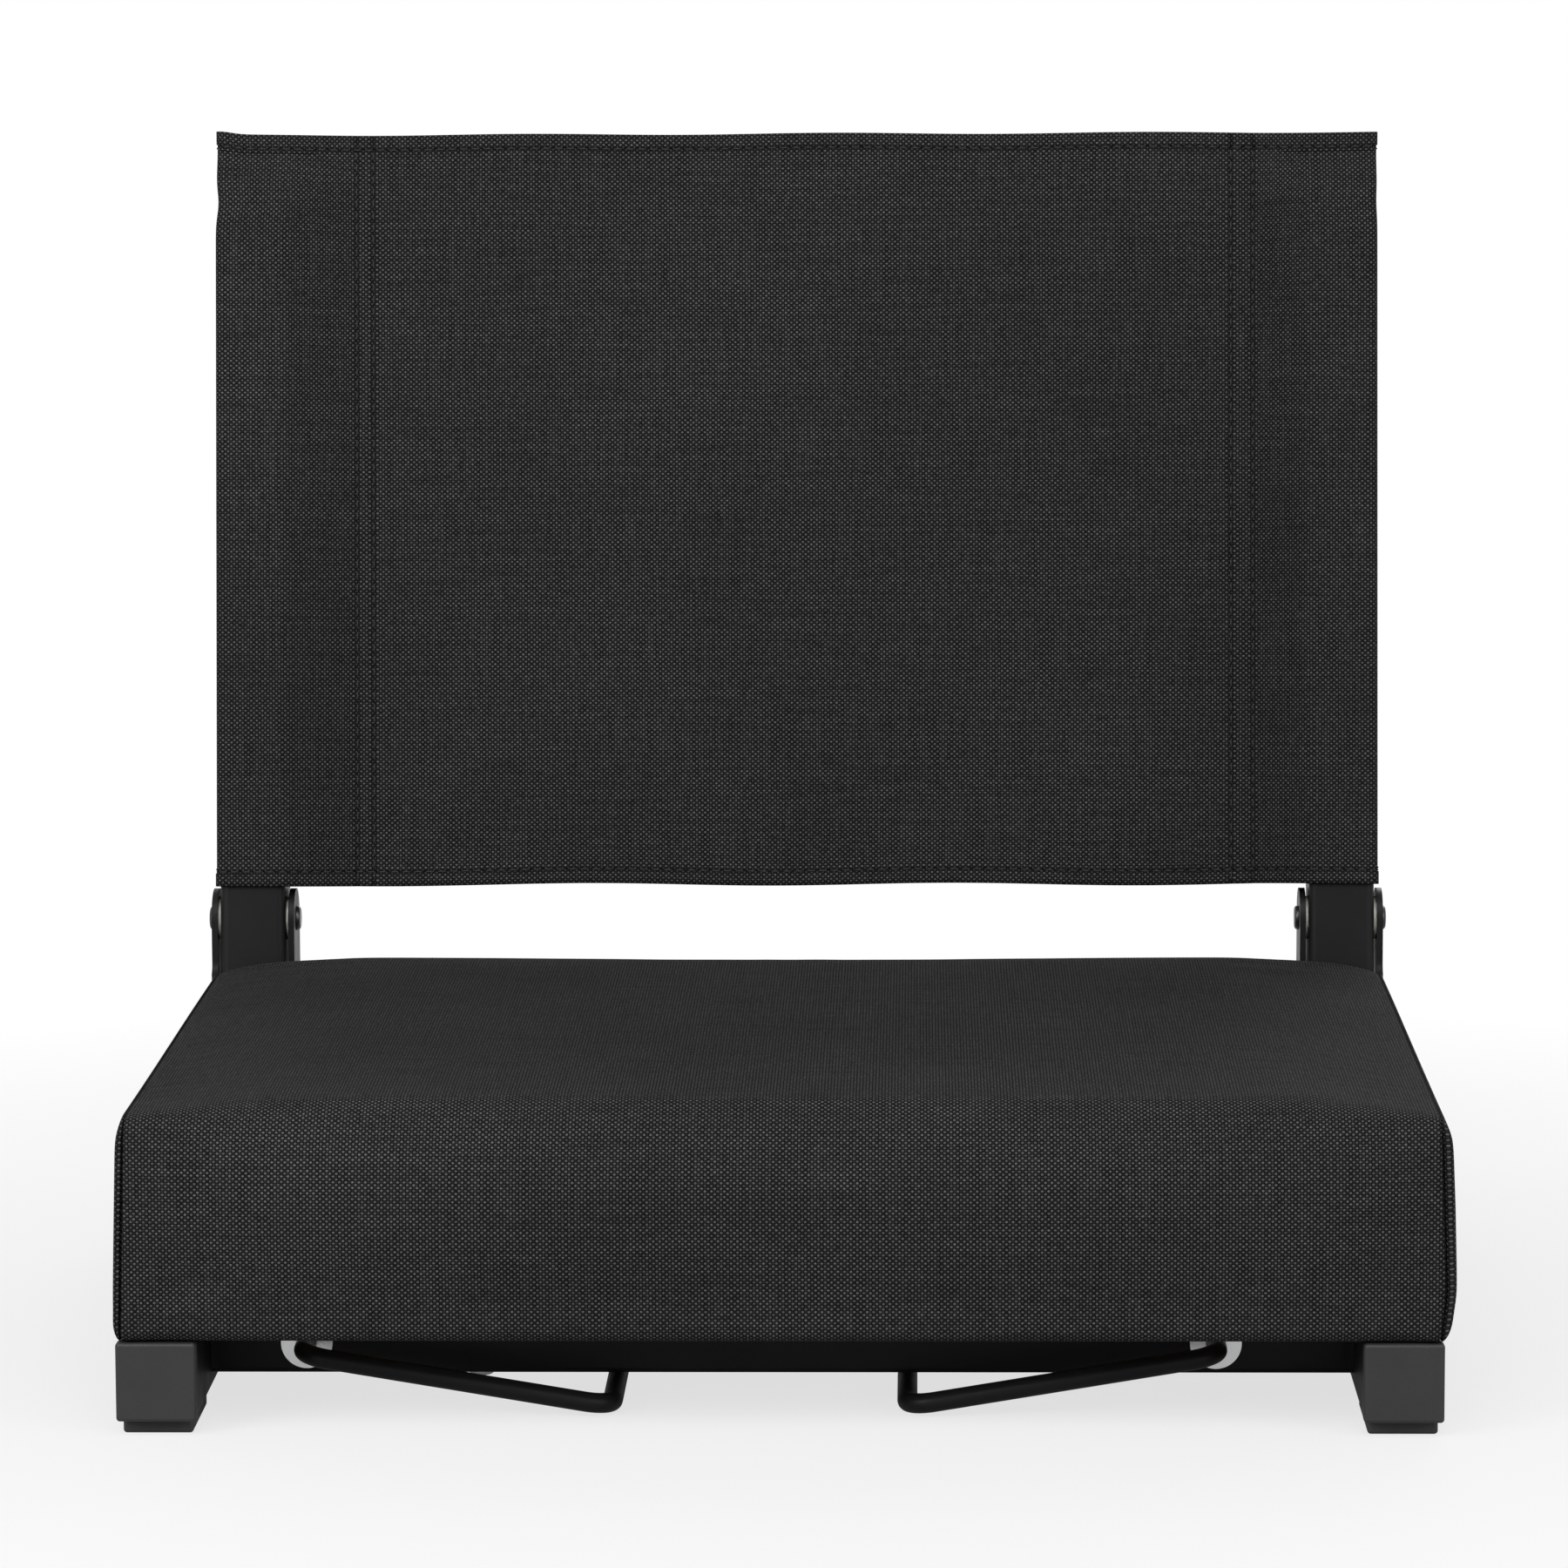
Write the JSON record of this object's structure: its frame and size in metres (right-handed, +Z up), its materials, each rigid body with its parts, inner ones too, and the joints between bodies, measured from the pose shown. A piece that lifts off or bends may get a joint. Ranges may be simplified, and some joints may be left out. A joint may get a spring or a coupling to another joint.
{
  "type": "folding stadium chair",
  "caption": "Low padded seat on a square-tube frame, with a cloth back that folds forward onto it and swinging rod hooks that catch a bench.",
  "frame": {"origin": "on the floor under the middle of the chair's overall box", "axes": "+X to the chair's right seen from the front, +Y to the rear, +Z up; the seat faces -Y"},
  "size_m": [0.4366, 0.3787, 0.4085],
  "materials": {
    "black_steel": "black powder coat, satin",
    "rivet_steel": "blackened rivet, satin",
    "plated_steel": "zinc plated",
    "cap_plastic": "fine moulded grain",
    "nylon": "natural nylon",
    "foot_rubber": "matte",
    "plywood": "unfinished plywood",
    "foam": "open-cell foam",
    "seat_cloth": "coarse plain-woven polyester",
    "back_cloth": "coarse plain-woven polyester"
  },
  "bodies": {
    "seat_frame": {"front_crossbar": "black_steel", "left_front_bracket_rivet": "rivet_steel", "left_front_cap": "cap_plastic", "left_front_foot": "foot_rubber", "left_front_screw": "plated_steel", "left_hinge_bracket": "black_steel", "left_inner_washer": "nylon", "left_outer_washer": "nylon", "left_pivot_rivet": "rivet_steel", "left_rear_bracket_rivet": "rivet_steel", "left_rear_foot": "foot_rubber", "left_rear_plug": "cap_plastic", "left_rear_screw": "plated_steel", "left_side_rail": "black_steel", "rear_crossbar": "black_steel", "right_front_bracket_rivet": "rivet_steel", "right_front_cap": "cap_plastic", "right_front_foot": "foot_rubber", "right_front_screw": "plated_steel", "right_hinge_bracket": "black_steel", "right_inner_washer": "nylon", "right_outer_washer": "nylon", "right_pivot_rivet": "rivet_steel", "right_rear_bracket_rivet": "rivet_steel", "right_rear_foot": "foot_rubber", "right_rear_plug": "cap_plastic", "right_rear_screw": "plated_steel", "right_side_rail": "black_steel", "seat_board": "plywood", "seat_cover": "seat_cloth", "seat_foam": "foam"},
    "back": {"left_back_post": "black_steel", "right_back_post": "black_steel", "left_post_plug": "cap_plastic", "right_post_plug": "cap_plastic", "back_sleeve": "back_cloth"},
    "left_hook": {"left_bench_hook": "black_steel", "left_hook_washer": "plated_steel", "left_hook_clip": "plated_steel"},
    "right_hook": {"right_bench_hook": "black_steel", "right_hook_washer": "plated_steel", "right_hook_clip": "plated_steel"}
  },
  "joints": [
    {"name": "back_fold", "type": "hinge", "parent": "seat_frame", "child": "back", "pos_m": [0, 0.14352, 0.1195], "axis": [1, 0, 0], "range_deg": [0, 97]},
    {"name": "left_hook_swing", "type": "hinge", "parent": "seat_frame", "child": "left_hook", "pos_m": [-0.157, -0.12598, 0.0205], "axis": [0, 1, 0], "range_deg": [-1.5, 130]},
    {"name": "right_hook_swing", "type": "hinge", "parent": "seat_frame", "child": "right_hook", "pos_m": [0.143, -0.12598, 0.0205], "axis": [0, -1, 0], "range_deg": [-1.5, 130]}
  ]
}
